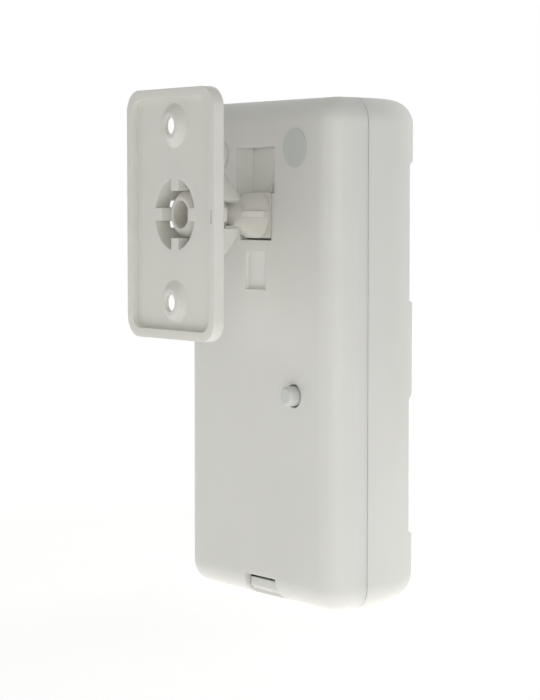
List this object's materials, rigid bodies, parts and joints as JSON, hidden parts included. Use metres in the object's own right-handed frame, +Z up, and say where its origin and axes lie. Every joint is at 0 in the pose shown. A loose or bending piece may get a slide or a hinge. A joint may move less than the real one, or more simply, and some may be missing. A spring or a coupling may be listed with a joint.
{
  "type": "pet-immune pir motion detector",
  "caption": "Tall wireless motion detector with a half-round front, windows one above the other and a ball-jointed wall bracket in a slot in its back.",
  "frame": {"origin": "centre of the line between the wall plate's two screw holes, on the wall plane", "axes": "+Z up as the picture shows it, +Y into the wall, the detector looks along -Y, +X to the right of someone facing the detector"},
  "size_m": [0.0544, 0.0571, 0.1084],
  "materials": {
    "case_plastic": "fine satin",
    "bracket_plastic": "satin",
    "lens_plastic": "translucent, ribbed inside",
    "frame_plastic": "satin",
    "board_laminate": "solder mask",
    "tinned_metal": "tinned",
    "contact_metal": "nickel plated",
    "filter_glass": "dark infrared filter",
    "black_plastic": "moulded",
    "cell_sleeve": "shrink sleeve, plain",
    "light_resin": "clear tinted resin",
    "clear_rod": "clear polished",
    "button_plastic": "smooth white",
    "wire_enamel": "enamelled copper",
    "label_film": "grey film, bare"
  },
  "bodies": {
    "bracket": {"wall_plate": "bracket_plastic"},
    "arm": {"ball_arm": "bracket_plastic"},
    "detector": {"rear_case": "case_plastic", "front_cover": "case_plastic", "upper_lens": "lens_plastic", "lower_lens": "lens_plastic", "upper_lens_frame": "frame_plastic", "lower_lens_frame": "frame_plastic", "circuit_board": "board_laminate", "board_screws": "tinned_metal", "upper_sensor": "tinned_metal", "upper_sensor_window": "filter_glass", "lower_sensor": "tinned_metal", "lower_sensor_window": "filter_glass", "tamper_switch": "black_plastic", "battery_cell": "cell_sleeve", "battery_holder": "black_plastic", "plate_contact": "contact_metal", "spring_contact": "contact_metal", "status_led": "light_resin", "light_pipe": "clear_rod", "main_chip": "black_plastic", "radio_chip": "black_plastic", "radio_resonator": "tinned_metal", "crystal": "tinned_metal", "capacitors": "tinned_metal", "mode_pins": "black_plastic", "mode_jumper": "black_plastic", "aerial_wire": "wire_enamel", "round_label": "label_film"},
    "tamper_button": {"tamper_plunger": "button_plastic"}
  },
  "joints": [
    {"name": "arm_pan", "type": "hinge", "parent": "bracket", "child": "arm", "pos_m": [0, -0.0075, 0], "axis": [0, 0, 1], "range_deg": [-40, 40]},
    {"name": "mount_slide", "type": "slide", "parent": "arm", "child": "detector", "axis": [0, 0, 1], "range_m": [-0.0095, 0]},
    {"name": "tamper_press", "type": "slide", "parent": "detector", "child": "tamper_button", "axis": [0, -1, 0], "range_m": [0, 0.0015], "stiffness_N_per_m": 300, "springref_m": -0.0005}
  ]
}
